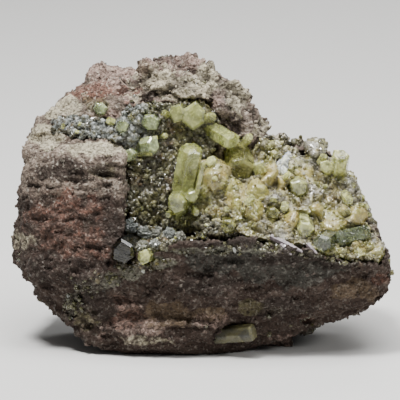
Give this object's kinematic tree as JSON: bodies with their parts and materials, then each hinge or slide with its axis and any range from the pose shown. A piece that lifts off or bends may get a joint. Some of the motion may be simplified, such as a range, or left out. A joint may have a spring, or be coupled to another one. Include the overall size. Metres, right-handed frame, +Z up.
{
  "type": "mineral specimen",
  "caption": "Hand specimen of yellow-green fluorapatite crystals in a hollow of pinkish volcanic rock, with grey quartz druse and a cream to honey chalcedony crust.",
  "frame": {"origin": "on the ground under the middle of the specimen's bounding box", "axes": "+Z up, +X along the longest extent, the show side with the crystals facing -Y"},
  "size_m": [0.0902, 0.0562, 0.0678],
  "materials": {
    "rock": "rough, weathered, pinkish brown to dark grey-brown",
    "quartz": "grey, sparkling, finely crystalline",
    "chalcedony": "cream to honey, waxy and sugary",
    "apatite": "glassy, translucent yellow-green"
  },
  "bodies": {
    "root": {"rock_matrix": "rock", "quartz_druse": "quartz", "chalcedony_crust": "chalcedony", "tall_crystals": "apatite", "upper_crystals": "apatite", "olive_crystal": "apatite", "lump_crystal": "apatite", "pale_crystal": "apatite", "striated_crystals": "apatite", "seam_crystal": "apatite", "dark_crystal": "apatite", "hexagon_crystal": "apatite", "bar_crystal": "apatite", "rim_crystals": "apatite", "green_hexagon": "apatite", "long_crystals": "apatite", "druse_crystal": "apatite", "foot_crystal": "apatite", "gap_crystal": "apatite", "mint_crystal": "apatite", "underside_crystal": "apatite"}
  },
  "joints": []
}
